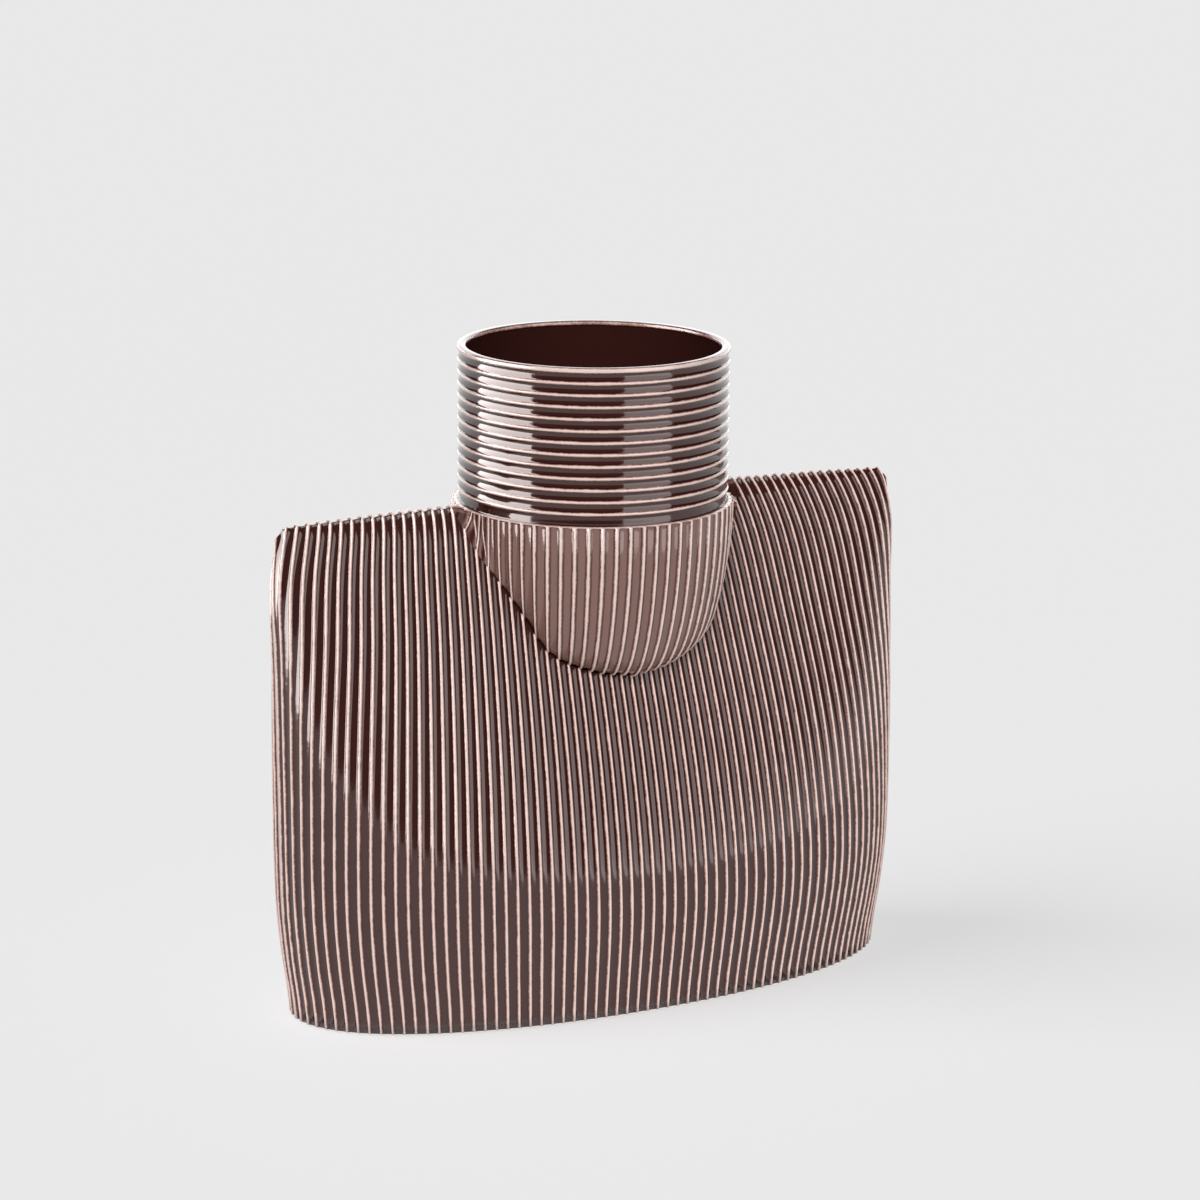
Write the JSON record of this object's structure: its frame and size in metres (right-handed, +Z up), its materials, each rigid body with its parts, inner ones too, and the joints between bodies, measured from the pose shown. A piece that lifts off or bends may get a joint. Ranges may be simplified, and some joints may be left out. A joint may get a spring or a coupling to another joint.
{
  "type": "pillow vase",
  "caption": "Flat, swelling ribbed vase with a round ribbed socket and a ringed cylindrical collar, in dark glazed stoneware.",
  "frame": {"origin": "on the table, under the middle of the vase", "axes": "+Z up through the mouth, X along the wide side, -Y out of the front"},
  "size_m": [0.306, 0.1276, 0.2907],
  "materials": {
    "plum_glaze": "gloss",
    "bare_stoneware": "matte"
  },
  "bodies": {
    "root": {"front_wall": "plum_glaze", "back_wall": "plum_glaze", "neck_socket": "plum_glaze", "ringed_collar": "plum_glaze", "floor_slab": "bare_stoneware"}
  },
  "joints": []
}
